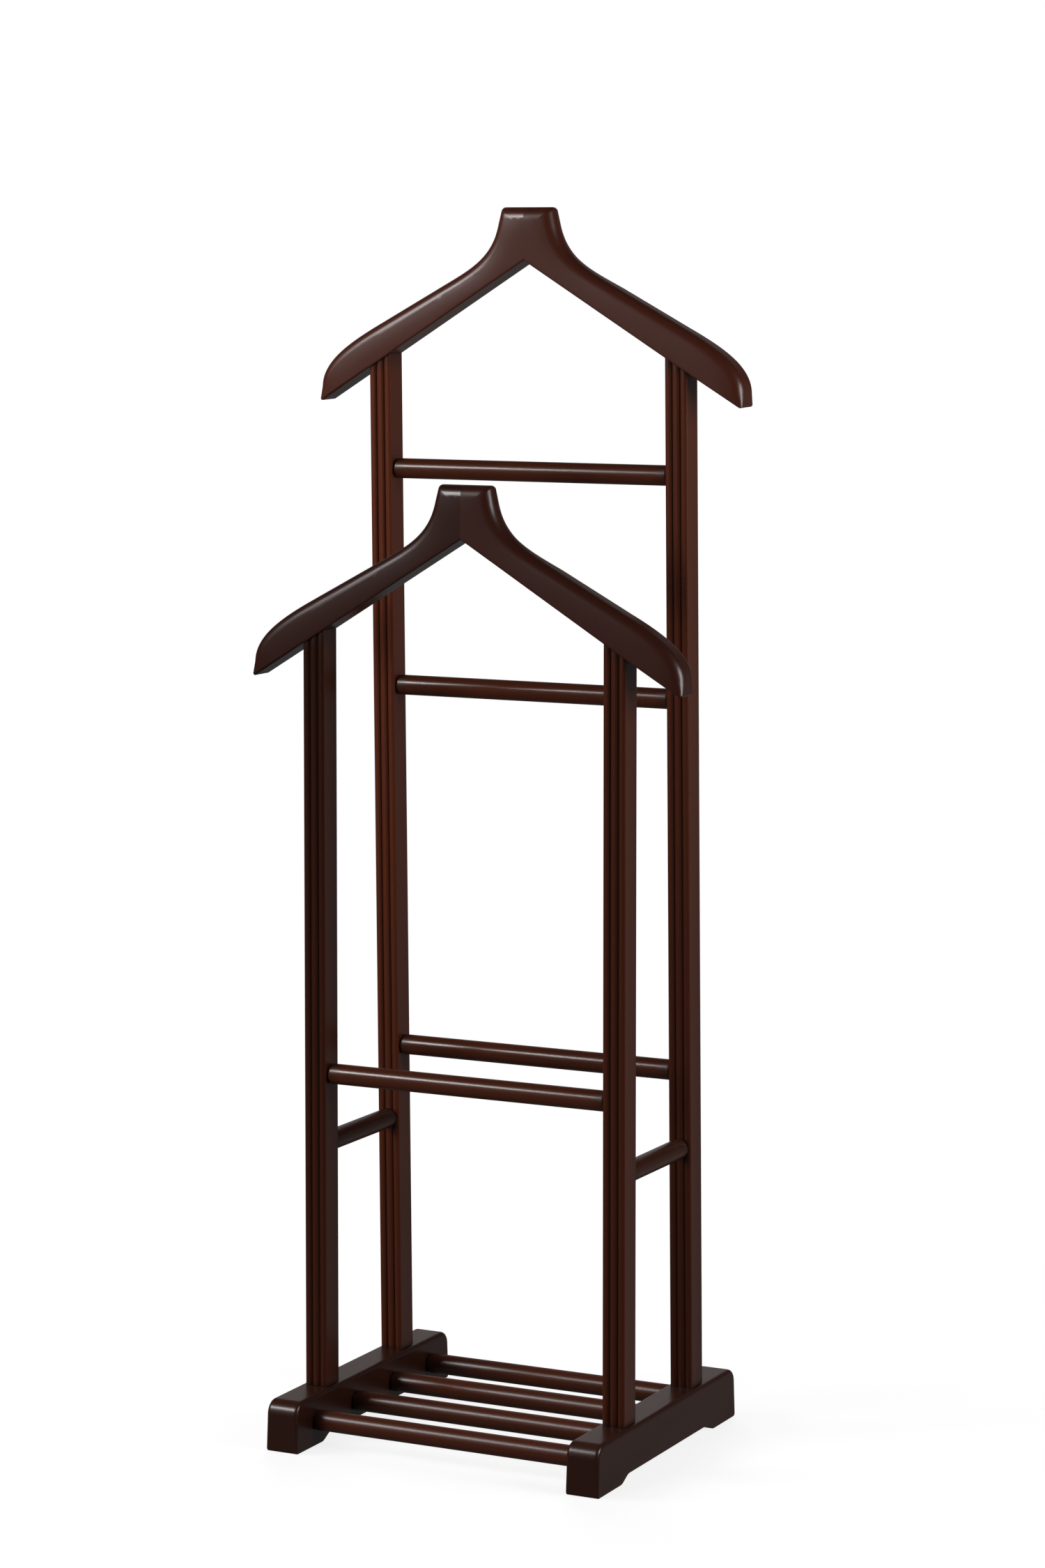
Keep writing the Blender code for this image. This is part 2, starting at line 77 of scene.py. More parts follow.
# The posts' section: three reeds with quirks between them, and lightly eased corners.
REED_WIDTHS = (0.0068, 0.0076, 0.0068)
REED_RISE = 0.0015
QUIRK_WIDTH = 0.0004
QUIRK_DEPTH = 0.0005
POST_BACK_ROUND = 0.0012

# Where a post has rings close to its foot, and how far below its slanting top it has the last ones.
POST_FOOT_RINGS = (0.0, 0.0006, 0.002, 0.005)
POST_TOP_RINGS = (0.002, 0.0006, 0.0)

# The hangers, measured from the apex of the underside.
UNDERSIDE_SLOPE = 0.616
TOP_SLOPE = 0.537
NECK_PIN_HEIGHT = 0.033
NECK_HEIGHT = 0.049
NECK_HALF_WIDTH = 0.0279
NECK_CORNER_RADIUS = 0.0035
NECK_END = (0.092, -0.0256)
NECK_CURVE_HANDLES = ((0.0550, -0.0057), (0.0299, 0.0050))
ARM_END_X = 0.160
END_CURVE_RISE = 0.022
END_CURVE_HANDLE = (0.1952, -0.0810)
TIP_TOP_Z = -0.120
TIP_RADIUS = 0.0025

# The rounding of their edges: in front, along the underside, and behind, where it changes along an arm.
UPPER_ROUND = 0.0092
LOWER_ROUND = 0.0015
TIP_ROUND_RISE = 0.016
BACK_ROUND_NECK = 0.0135
BACK_ROUND_ARM = 0.0070
BACK_ROUND_TIP = 0.0040
BACK_ROUND_BLEND = 0.045

# The crown of their front faces: how far it reaches in from the upper edge and from the neck's top,
# how strongly it falls away towards each, and the grid that the face is cut into for it.
CROWN_REACH = 0.027
CROWN_CURVE = 3.8
TOP_CROWN_CURVE = 1.9
CROWN_GRID = 0.004
CUT_TOLERANCE = 0.0002

# How steeply the grain falls along an arm.
GRAIN_SLOPE = 0.575

# How square the rounded edges are: 2 is a circular arc, more eases into the flats.
EASE_POWER = 2.25

# The runners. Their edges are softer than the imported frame's, inside the same box.
RUNNER_TOP_RADIUS = 0.013
RUNNER_TOE_RADIUS = 0.003
RUNNER_EDGE_ROUND = 0.004
RUNNER_FLOOR_ROUND = 0.001
FOOT_PAD_LENGTH = 0.048
ARCH_HEIGHT = 0.0066
ARCH_SHOULDER = 0.018
ARCH_EASE = 0.3
SHOE_BARS = 4
END_GRAIN_REACH = 0.004

# Hidden joinery.
PIN_RADIUS = 0.004
SCREW_SHANK_RADIUS = 0.0022
SCREW_HEAD_HEIGHT = 0.0028
SCREW_BORE_RADIUS = 0.0052
BORE_OVERRUN = 0.02

# Fineness of the meshes.
TURNED_SEGMENTS = 96
BORE_SEGMENTS = 32
REED_SEGMENTS = 14
ARC_SEGMENTS = 8
ARCH_SEGMENTS = 16
CURVE_SEGMENTS = 40
ROUND_SEGMENTS = 8
RING_SPACING = 0.012

# Edges that turn by more than this are shaded sharp.
SHARP_ANGLE = math.radians(35)

# Painted shade near joints and in the posts' hollows, and the real stain on end grain.
JOINT_SHADE_REACH = 0.006
GROOVE_SHADE = 0.75
END_GRAIN_STAIN = 0.35

# The posts' front corners, painted lighter along the arris as a painted highlight.
ARRIS_REACH = 0.0006
ARRIS_DEPTH = 2.2 * REED_RISE
ARRIS_HIGHLIGHT = 0.8


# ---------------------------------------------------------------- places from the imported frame

def middle(node):
    low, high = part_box(node)
    return (low + high) / 2


def extent(node):
    low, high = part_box(node)
    return high - low


RUNNER_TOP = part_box("runner_left")[1].z
RAILS = ("front_lower_rail", "rear_lower_rail", "rear_middle_rail", "rear_upper_rail")


def frame_matrix(prefix):
    """Turns a frame's own upright coordinates, from the middle of its foot line, into world ones."""
    low = middle(prefix + "_lower_rail")
    up = (middle(prefix + "_neck_pin_upper") - low).normalized()
    foot = low - up * ((low.z - RUNNER_TOP) / up.z)
    return Matrix.Translation(foot) @ Matrix.Rotation(math.atan2(-up.y, up.z), 4, "X")


def local_rod(center, axis, half, radius, matrix):
    """A rod about a world point, as (start, end, radius) in the coordinates that matrix places."""
    inverse = matrix.inverted()
    return inverse @ (center - axis * half), inverse @ (center + axis * half), radius


def axis_of(node, axis):
    """The direction of a round piece: along the world's X or Y, or up its frame."""
    if axis < 2:
        return Vector([float(other == axis) for other in range(3)])
    return frame_matrix(node.split("_")[0]).to_3x3() @ Vector((0.0, 0.0, 1.0))


def pin_bore(node, axis, matrix):
    """The bore for a dowel pin, a little longer and wider than it."""
    size = extent(node)
    direction = axis_of(node, axis)
    half = size[axis] / 2 / max(abs(direction[axis]), 0.9) + GAP
    return local_rod(middle(node), direction, half, PIN_RADIUS + GAP, matrix)


def tenon_bore(node, axis, matrix):
    """The bore that takes a stick's tenons, as one rod from blind end to blind end."""
    half = extent(node)[axis] / 2 + GAP
    return local_rod(middle(node), axis_of(node, axis), half, TENON_RADIUS + GAP, matrix)


def screw_bores(node, matrix):
    """A screw's shank bore, and the wide bore under its head that opens at the floor."""
    low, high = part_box(node)
    up = axis_of(node, 2)
    head = Vector(((low.x + high.x) / 2, (low.y + high.y) / 2, low.z))
    head.y += (high.z - low.z) / 2 * -up.y / up.z
    tip = head + up * ((high.z - low.z) / up.z + GAP)
    mouth = head - up * (low.z + BORE_OVERRUN)
    top = head + up * (SCREW_HEAD_HEIGHT + GAP)
    inverse = matrix.inverted()
    shank = (inverse @ mouth, inverse @ tip, SCREW_SHANK_RADIUS + GAP)
    return [shank, (inverse @ mouth, inverse @ top, SCREW_BORE_RADIUS)]


# ---------------------------------------------------------------- outlines and meshes

def arc(center, radius, start, end, segments):
    """Points on an arc from start to end, in degrees, both ends included."""
    points = []
    for index in range(segments + 1):
        angle = math.radians(start + (end - start) * index / segments)
        points.append((center[0] + radius * math.cos(angle), center[1] + radius * math.sin(angle)))
    return points


def bezier(p0, p1, p2, p3, segments):
    """Points on a cubic curve, both ends included."""
    points = []
    for index in range(segments + 1):
        t = index / segments
        weights = ((1 - t) ** 3, 3 * t * (1 - t) ** 2, 3 * t * t * (1 - t), t ** 3)
        points.append(tuple(sum(w * p[axis] for w, p in zip(weights, (p0, p1, p2, p3))) for axis in (0, 1)))
    return points


def mesh_from(bm, name):
    bmesh.ops.recalc_face_normals(bm, faces=bm.faces)
    mesh = bpy.data.meshes.new(name)
    bm.to_mesh(mesh)
    bm.free()
    return mesh


def lofted(name, rings):
    """A closed body through rings of as many points each, capped at both ends."""
    bm = bmesh.new()
    loops = [[bm.verts.new(point) for point in ring] for ring in rings]
    for low, high in zip(loops, loops[1:]):
        for index in range(len(low)):
            after = (index + 1) % len(low)
            bm.faces.new((low[index], low[after], high[after], high[index]))
    bm.faces.new(loops[0])
    bm.faces.new(loops[-1])
    return mesh_from(bm, name)


def rounded_plate(name, outline_at, depth):
    """A closed plate in XZ, extruded along Y, whose edges are rounded by a radius for each point.

    outline_at(share, facing) gives, for each point, its place in the ring that is moved in by that
    share of its own rounding radius, and that radius, as (x, z, radius). facing is -1 for the
    front of the plate and 1 for its back.
    """
    rings = []
    for facing in (-1, 1):
        for step in range(ROUND_SEGMENTS + 1):
            angle = math.radians(90 * (step if facing > 0 else ROUND_SEGMENTS - step) / ROUND_SEGMENTS)
            share_in = 1.0 - math.cos(angle) ** (2 / EASE_POWER)
            share_deep = 1.0 - math.sin(angle) ** (2 / EASE_POWER)
            ring = outline_at(share_in, facing)
            rings.append([(x, facing * (depth / 2 - radius * share_deep), z) for x, z, radius in ring])
    return lofted(name, rings)


def inward_normals(points):
    """A unit vector into the outline at each of its points, which run clockwise or the other way."""
    area = sum(a[0] * b[1] - b[0] * a[1] for a, b in zip(points, points[1:] + points[:1]))
    turn = 1.0 if area > 0 else -1.0
    normals = []
    for index, point in enumerate(points):
        before = Vector(points[index - 1])
        after = Vector(points[(index + 1) % len(points)])
        first = (Vector(point) - before).normalized()
        second = (after - Vector(point)).normalized()
        direction = (first + second).normalized()
        normals.append(Vector((-direction.y, direction.x)) * turn / max(0.5, direction.dot(second)))
    return normals


def bored(mesh, rods):
    """The mesh with round bores cut in it, each rod given as (start, end, radius)."""
    bm = bmesh.new()
    half_step = Matrix.Rotation(math.pi / BORE_SEGMENTS, 4, "Z")
    for start, end, radius in rods:
        start = Vector(start)
        end = Vector(end)
        turn = (end - start).to_track_quat("Z", "Y").to_matrix().to_4x4()
        bmesh.ops.create_cone(
            bm, cap_ends=True, segments=BORE_SEGMENTS, radius1=radius, radius2=radius,
            depth=(end - start).length, matrix=Matrix.Translation((start + end) / 2) @ turn @ half_step)
    cutter = bpy.data.objects.new("bores", mesh_from(bm, "bores"))
    carrier = bpy.data.objects.new("carrier", mesh)
    bpy.context.scene.collection.objects.link(cutter)
    bpy.context.scene.collection.objects.link(carrier)
    boolean = carrier.modifiers.new("bores", "BOOLEAN")
    boolean.operation = "DIFFERENCE"
    boolean.solver = "EXACT"
    boolean.use_self = True
    boolean.object = cutter
    return evaluated_mesh(carrier, cutter)


def evaluated_mesh(carrier, *helpers):
    """The carrier's mesh with its modifiers applied. The carrier and its helpers are removed."""
    name = carrier.data.name
    evaluated = carrier.evaluated_get(bpy.context.evaluated_depsgraph_get())
    result = bpy.data.meshes.new_from_object(evaluated)
    for obj in (carrier, *helpers):
        bpy.data.objects.remove(obj)
    result.name = name
    return result


def finished(mesh):
    """The mesh shaded smooth, with its shading weighted towards the larger faces."""
    mesh.shade_smooth()
    mesh.set_sharp_from_angle(angle=SHARP_ANGLE)
    carrier = bpy.data.objects.new("carrier", mesh)
    bpy.context.scene.collection.objects.link(carrier)
    weighted = carrier.modifiers.new("shading", "WEIGHTED_NORMAL")
    weighted.keep_sharp = True
    return evaluated_mesh(carrier)


def paint(mesh, along, across, offset, tone, stain_and_shade_of=None, arris_highlight_of=None):
    """Store, for the materials, each point's place in its board, its tone and its stain.

    grain runs along the board in x and across it in y and z. tone is how light the piece is painted, as a
    function of the point or one number for the whole piece.
    Then how darkly each point is painted: the real stain on end grain, and painted shade near joints and in
    the posts' hollows; and how strongly a painted highlight lightens it along a post's front arris.
    """
    depth = along.cross(across)
    grain = mesh.attributes.new("grain", "FLOAT_VECTOR", "POINT")
    tones = mesh.attributes.new("tone", "FLOAT", "POINT")
    stain_and_shade_values = mesh.attributes.new("stain_and_shade", "FLOAT", "POINT")
    edges = mesh.attributes.new("edge", "FLOAT", "POINT")
    for index, vert in enumerate(mesh.vertices):
        point = vert.co
        grain.data[index].vector = Vector((point.dot(along), point.dot(across), point.dot(depth))) + offset
        tones.data[index].value = tone(point) if callable(tone) else tone
        stain_and_shade_values.data[index].value = stain_and_shade_of(point) if stain_and_shade_of else 0.0
        edges.data[index].value = arris_highlight_of(point) if arris_highlight_of else 0.0


def board_offset(seed):
    """A different place in the wood for each board."""
    return Vector((seed * 1.37, seed * 0.73, seed * 0.41))


def add_piece(node, mesh, material):
    """Put a finished mesh in the place of a CAD node."""
    obj = bpy.data.objects.new("fine_" + node, mesh)
    bpy.context.scene.collection.objects.link(obj)
    mesh.materials.clear()
    mesh.materials.append(material)
    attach(obj, "root")
    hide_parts(node)
    return obj


# ---------------------------------------------------------------- materials

class Nodes:
    """Short calls for building a material's node tree."""

    def __init__(self, name):
        self.material = bpy.data.materials.new(name)
        self.material.use_nodes = True
        self.tree = self.material.node_tree
        self.shader = self.tree.nodes["Principled BSDF"]

    def node(self, kind, **settings):
        node = self.tree.nodes.new(kind)
        for key, value in settings.items():
            setattr(node, key, value)
        return node

    def link(self, source, target):
        self.tree.links.new(source, target)

    def attribute(self, name, output="Fac"):
        return self.node("ShaderNodeAttribute", attribute_name=name).outputs[output]

    def scaled(self, vector, scale):
        mapping = self.node("ShaderNodeMapping")
        mapping.inputs["Scale"].default_value = scale
        self.link(vector, mapping.inputs["Vector"])
        return mapping.outputs["Vector"]

    def noise(self, vector, scale, detail=2.0, roughness=0.5, distortion=0.0):
        noise = self.node("ShaderNodeTexNoise")
        noise.inputs["Scale"].default_value = 1.0
        noise.inputs["Detail"].default_value = detail
        noise.inputs["Roughness"].default_value = roughness
        noise.inputs["Distortion"].default_value = distortion
        self.link(self.scaled(vector, scale), noise.inputs["Vector"])
        return noise.outputs["Fac"]

    def spread(self, value, low, high, to_low=0.0, to_high=1.0):
        """Map low..high of a value to to_low..to_high, clamped."""
        node = self.node("ShaderNodeMapRange")
        node.inputs["From Min"].default_value = low
        node.inputs["From Max"].default_value = high
        node.inputs["To Min"].default_value = to_low
        node.inputs["To Max"].default_value = to_high
        self.link(value, node.inputs["Value"])
        return node.outputs["Result"]

    def math(self, operation, first, second):
        node = self.node("ShaderNodeMath", operation=operation)
        for socket, value in zip(node.inputs, (first, second)):
            if isinstance(value, float):
                socket.default_value = value
            else:
                self.link(value, socket)
        return node.outputs["Value"]

    def mix(self, factor, first, second, blend="MIX"):
        """Mix two colours, each a colour output or three numbers, by a factor output or number."""
        node = self.node("ShaderNodeMix", data_type="RGBA", blend_type=blend)
        if isinstance(factor, float):
            node.inputs["Factor"].default_value = factor
        else:
            self.link(factor, node.inputs["Factor"])
        for socket, value in ((node.inputs[6], first), (node.inputs[7], second)):
            if isinstance(value, tuple):
                socket.default_value = (*value, 1.0)
            else:
                self.link(value, socket)
        return node.outputs[2]

    def bump(self, height, strength, distance, below=None):
        node = self.node("ShaderNodeBump")
        node.inputs["Strength"].default_value = strength
        node.inputs["Distance"].default_value = distance
        self.link(height, node.inputs["Height"])
        if below:
            self.link(below, node.inputs["Normal"])
        return node.outputs["Normal"]


def lacquered_wood(name, dark, middle_tone, light, roughness):
    """Mahogany under a dark satin lacquer: streaks, blotches, pores and stain along the grain, with painted
    shade near joints and in the posts' hollows, and a painted highlight along the posts' front arrises.
    """
    n = Nodes(name)
    grain = n.attribute("grain", "Vector")

    blotches = n.noise(grain, (5.0, 28.0, 28.0), detail=3.0, distortion=0.6)
    streaks = n.noise(grain, (7.0, 260.0, 260.0), detail=4.0, roughness=0.6, distortion=0.8)
    fine = n.noise(grain, (30.0, 1400.0, 1400.0), detail=2.0)
    pores = n.spread(n.noise(grain, (75.0, 2600.0, 2600.0), detail=1.0), 0.62, 0.74)

    body = n.mix(n.spread(streaks, 0.30, 0.72), dark, middle_tone)
    body = n.mix(n.spread(blotches, 0.42, 0.75, 0.0, 0.65), body, light)
    body = n.mix(n.spread(fine, 0.35, 0.65, 0.0, 0.22), body, dark)
    body = n.mix(n.math("MULTIPLY", pores, 0.45), body, tuple(0.35 * c for c in dark))

    toned = n.node("ShaderNodeHueSaturation")
    n.link(body, toned.inputs["Color"])
    n.link(n.attribute("tone"), toned.inputs["Value"])
    body = toned.outputs["Color"]

    # Painted highlight: a post's front arris is mixed towards a lighter colour.
    arris_highlight_mask = n.math("MULTIPLY", n.attribute("edge"), n.spread(blotches, 0.35, 0.6, 0.25, 0.9))
    body = n.mix(arris_highlight_mask, body, tuple(1.25 * c for c in light))
    # Painted shade near joints and in the posts' hollows, with the real stain on end grain, darkens the
    # colour here.
    stain_and_shade_mask = n.math("MULTIPLY", n.attribute("stain_and_shade"), 0.85)
    body = n.mix(stain_and_shade_mask, body, tuple(0.30 * c for c in dark))
    n.link(body, n.shader.inputs["Base Color"])

    sheen_spots = n.noise(grain, (22.0, 60.0, 60.0), detail=3.0)
    gloss = n.spread(sheen_spots, 0.3, 0.7, roughness - 0.02, roughness + 0.02)
    gloss = n.math("ADD", gloss, n.math("MULTIPLY", n.attribute("stain_and_shade"), 0.25))
    n.link(gloss, n.shader.inputs["Roughness"])

    peel = n.noise(grain, (160.0, 260.0, 260.0), detail=1.0)
    surface = n.bump(peel, 0.004, 0.0005)
    surface = n.bump(n.math("SUBTRACT", fine, pores), 0.006, 0.0001, surface)
    n.link(surface, n.shader.inputs["Normal"])

    n.shader.inputs["IOR"].default_value = 1.5
    n.shader.inputs["Specular IOR Level"].default_value = 0.5
    n.shader.inputs["Coat Weight"].default_value = 0.25
    n.shader.inputs["Coat Roughness"].default_value = roughness - 0.05
    n.shader.inputs["Coat IOR"].default_value = 1.5
    return n.material


def raw_beech(name):
    """Unfinished beech dowel with fluted-looking grain and short dark rays."""
    n = Nodes(name)
    place = n.node("ShaderNodeTexCoord").outputs["Object"]
    grain = n.noise(place, (900.0, 900.0, 60.0), detail=3.0)
    flecks = n.spread(n.noise(place, (500.0, 500.0, 160.0), detail=1.0), 0.6, 0.7)
    body = n.mix(grain, (0.62, 0.43, 0.26), (0.46, 0.30, 0.17))
    body = n.mix(n.math("MULTIPLY", flecks, 0.5), body, (0.30, 0.17, 0.09))
    n.link(body, n.shader.inputs["Base Color"])
    n.link(n.spread(grain, 0.3, 0.7, 0.55, 0.72), n.shader.inputs["Roughness"])
    n.link(n.bump(grain, 0.3, 0.0002), n.shader.inputs["Normal"])
    return n.material


def zinc_steel(name):
    """Bright zinc plate with fine turning lines and dull patches."""
    n = Nodes(name)
    place = n.node("ShaderNodeTexCoord").outputs["Object"]
    lines = n.noise(place, (300.0, 300.0, 9000.0), detail=2.0)
    patches = n.noise(place, (350.0, 350.0, 350.0), detail=3.0)
    n.link(n.mix(patches, (0.62, 0.62, 0.60), (0.46, 0.47, 0.48)), n.shader.inputs["Base Color"])
    n.link(n.spread(patches, 0.3, 0.7, 0.26, 0.42), n.shader.inputs["Roughness"])
    n.link(n.bump(lines, 0.15, 0.0001), n.shader.inputs["Normal"])
    n.shader.inputs["Metallic"].default_value = 1.0
    return n.material


# Each wood has a dark, a middle and a light colour, and a roughness.
POST_WOOD = lacquered_wood("post_lacquer", (0.045, 0.0098, 0.0037), (0.066, 0.0148, 0.0055),
                           (0.090, 0.0205, 0.0079), 0.28)
HANGER_WOOD = lacquered_wood("hanger_lacquer", (0.054, 0.0120, 0.0058), (0.082, 0.0185, 0.0088),
                             (0.118, 0.0255, 0.0115), 0.33)
STICK_COLORS = ((0.056, 0.0125, 0.0048), (0.084, 0.0195, 0.0073), (0.112, 0.0265, 0.0100))
RAIL_WOOD = lacquered_wood("rail_lacquer", *STICK_COLORS, 0.28)
BAR_WOOD = lacquered_wood("bar_lacquer", *STICK_COLORS, 0.36)
RUNNER_WOOD = lacquered_wood("runner_lacquer", (0.028, 0.0078, 0.0042), (0.048, 0.0135, 0.0072),
                             (0.066, 0.0190, 0.0102), 0.30)
PIN_WOOD = raw_beech("beech_dowel")
SCREW_STEEL = zinc_steel("zinc_plate")


# ---------------------------------------------------------------- rails, stretchers and shoe bars

def build_stick(node, axis, seed, tone, wood):
    """A round stick in place of a CAD one: rounded shoulders and a tenon at each end."""
    size = extent(node)
    half = size[axis] / 2 - TENON_LENGTH
    radius = min(size[other] for other in range(3) if other != axis) / 2
    inner = radius - SHOULDER_ROUND
    tenon_end = half + TENON_LENGTH
    profile = [(TENON_RADIUS - TENON_CHAMFER, tenon_end), (TENON_RADIUS, tenon_end - TENON_CHAMFER)]
    profile += [(TENON_RADIUS, half)]
    profile += arc((inner, half - SHOULDER_ROUND), SHOULDER_ROUND, 90, 0, ARC_SEGMENTS)
    rings_between = max(2, round(2 * half / RING_SPACING))
    straight = half - SHOULDER_ROUND
    for index in range(1, rings_between):
        profile.append((radius, straight * (1 - 2 * index / rings_between)))
    profile += [(ring_radius, -height) for ring_radius, height in reversed(profile[:3 + ARC_SEGMENTS + 1])]
    forward = Vector([float(other == axis) for other in range(3)])
    side = Vector((0.0, 0.0, 1.0))
    third = forward.cross(side)
    rings = []
    for ring_radius, height in profile:
        ring = []
        for step in range(TURNED_SEGMENTS):
            angle = math.tau * step / TURNED_SEGMENTS
            ring.append(forward * height + (side * math.sin(angle) + third * math.cos(angle)) * ring_radius)
        rings.append(ring)
    mesh = finished(lofted(node, rings))

    def stain_and_shade_of(point):
        # Painted shade towards the shoulders, where the stick meets its post or runner.
        return max(0.0, 1.0 - (half - abs(point[axis])) / JOINT_SHADE_REACH) if abs(point[axis]) < half else 1.0

    paint(mesh, forward, side, board_offset(seed), tone, stain_and_shade_of)
    mesh.transform(Matrix.Translation(middle(node)))
    return add_piece(node, mesh, wood)


# ---------------------------------------------------------------- posts

def post_section(width, depth):
    """A post's section as (x, y): eased back corners and three convex reeds down the front."""
    front = -depth / 2
    quirk_floor = front + REED_RISE + QUIRK_DEPTH
    ease = POST_BACK_ROUND
    points = arc((width / 2 - ease, depth / 2 - ease), ease, 0, 90, 5)
    points += arc((-width / 2 + ease, depth / 2 - ease), ease, 90, 180, 5)
    left = -width / 2
    for reed_width in REED_WIDTHS:
        if left > -width / 2:
            points += [(left - 0.8 * QUIRK_WIDTH, quirk_floor), (left - 0.2 * QUIRK_WIDTH, quirk_floor)]
        radius = (reed_width * reed_width / 4 + REED_RISE * REED_RISE) / (2 * REED_RISE)
        spread = math.degrees(math.asin(reed_width / 2 / radius))
        center = (left + reed_width / 2, front + radius)
        points += arc(center, radius, -90 - spread, -90 + spread, REED_SEGMENTS)
        left += reed_width + QUIRK_WIDTH
    return points


def reed_groove(x, y, width, depth):
    """How deep a point of the section lies in the hollow between two reeds, from 0 to 1."""
    if y > 0.0 or abs(x) > width / 2 - 0.001:
        return 0.0
    return min(1.0, max(0.0, (y + depth / 2) / REED_RISE - 0.15))


def build_post(node, prefix, seed, tones):
    """A reeded post from the runner's top to the hanger's underside, toned from foot to top."""
    matrix = frame_matrix(prefix)
    width = extent(node).x
    depth = extent("front_post_left").y
    x0 = middle(node).x
    apex = apex_height(prefix)
    section = post_section(width, depth)
    bottom = GAP

    def top(x):
        return apex - GAP - UNDERSIDE_SLOPE * abs(x0 + x)

    lowest_top = min(top(x) for x, _ in section)
    levels = list(POST_FOOT_RINGS)
    plain = lowest_top - bottom - 2 * POST_FOOT_RINGS[-1]
    count = round(plain / RING_SPACING)
    levels += [POST_FOOT_RINGS[-1] + plain * index / count for index in range(1, count + 1)]
    rings = [[(x, y, bottom + level) for x, y in section] for level in levels]
    for back_off in POST_TOP_RINGS:
        rings.append([(x, y, top(x) - back_off) for x, y in section])
    placed = matrix @ Matrix.Translation((x0, 0.0, 0.0))
    label = "right" if x0 > 0 else "left"
    rods = [pin_bore(prefix + end + label, 2, placed) for end in ("_top_pin_", "_foot_pin_")]
    rods.append(screw_bores(prefix + "_screw_" + label, placed)[0])
    rods.append(tenon_bore("side_stretcher_" + label, 1, placed))
    rods += [tenon_bore(rail, 0, placed) for rail in RAILS if rail.startswith(prefix)]
    mesh = finished(bored(lofted(node, rings), rods))

    def stain_and_shade_of(point):
        # Painted shade near the foot, under the hanger and in the hollows between the reeds.
        near_foot = 1.0 - (point.z - bottom) / JOINT_SHADE_REACH
        near_top = 1.0 - (top(point.x) - point.z) / JOINT_SHADE_REACH
        groove_shade = GROOVE_SHADE * reed_groove(point.x, point.y, width, depth)
        return min(1.0, max(0.0, near_foot, near_top, groove_shade))

    def arris_highlight_of(point):
        # Painted highlight along the post's front arrises.
        at_arris = abs(point.x) > width / 2 - ARRIS_REACH and point.y < -depth / 2 + ARRIS_DEPTH
        return ARRIS_HIGHLIGHT if at_arris else 0.0

    def tone_of(point):
        return tones[0] + (tones[1] - tones[0]) * point.z / lowest_top

    paint(mesh, Vector((0, 0, 1)), Vector((1, 0, 0)), board_offset(seed), tone_of, stain_and_shade_of, arris_highlight_of)
    mesh.transform(placed)
    return add_piece(node, mesh, POST_WOOD)


# ---------------------------------------------------------------- hangers

def apex_height(prefix):
    """How far a hanger's apex is above the runners' tops, along its frame."""
    pin = frame_matrix(prefix).inverted() @ middle(prefix + "_neck_pin_upper")
    return pin.z - NECK_PIN_HEIGHT


def tip_center(half_width):
    """Centre of the small arc between an arm's underside and its end."""
    x = half_width - TIP_RADIUS
    return x, TIP_RADIUS * math.hypot(1.0, UNDERSIDE_SLOPE) - UNDERSIDE_SLOPE * x


def back_round(x):
    """The rounding of a hanger's back edges: full at the neck, slight at the tips."""
    if x < NECK_END[0]:
        share = min(1.0, max(0.0, (NECK_END[0] - x) / BACK_ROUND_BLEND))
        return BACK_ROUND_ARM + (BACK_ROUND_NECK - BACK_ROUND_ARM) * share
    share = min(1.0, max(0.0, (x - ARM_END_X) / BACK_ROUND_BLEND))
    return BACK_ROUND_ARM + (BACK_ROUND_TIP - BACK_ROUND_ARM) * share


def hanger_edge(half_width):
    """The right half's edge up to near the top of the neck, as (x, z, front radius, back radius)."""
    arm_end = (ARM_END_X, NECK_END[1] - TOP_SLOPE * (ARM_END_X - NECK_END[0]))
    tip_top = (half_width, TIP_TOP_Z)
    center = tip_center(half_width)
    underside_angle = math.degrees(math.atan(UNDERSIDE_SLOPE))
    edge = [(GLUE_LINE / 2, -UNDERSIDE_SLOPE * GLUE_LINE / 2, LOWER_ROUND, LOWER_ROUND)]
    for share in (0.25, 0.5, 0.75):
        x = center[0] * share
        edge.append((x, -UNDERSIDE_SLOPE * x, LOWER_ROUND, LOWER_ROUND))
    tip = arc(center, TIP_RADIUS, -90 - underside_angle, 0, ARC_SEGMENTS)
    tip_handle = (tip_top[0], tip_top[1] + END_CURVE_RISE)
    end = bezier(tip_top, tip_handle, END_CURVE_HANDLE, arm_end, CURVE_SEGMENTS)
    neck = bezier(NECK_END, *NECK_CURVE_HANDLES, (NECK_HALF_WIDTH, NECK_HEIGHT), CURVE_SEGMENTS)
    for x, z in tip + end:
        rise = math.sin(min(1.0, max(0.0, (z - center[1] + TIP_RADIUS) / TIP_ROUND_RISE)) * math.pi / 2)
        front = LOWER_ROUND + (UPPER_ROUND - LOWER_ROUND) * rise
        edge.append((x, z, front, LOWER_ROUND + (back_round(x) - LOWER_ROUND) * rise))
    edge += [(x, z, UPPER_ROUND, back_round(x)) for x, z in neck if z < NECK_HEIGHT - 1.1 * BACK_ROUND_NECK]
    return edge


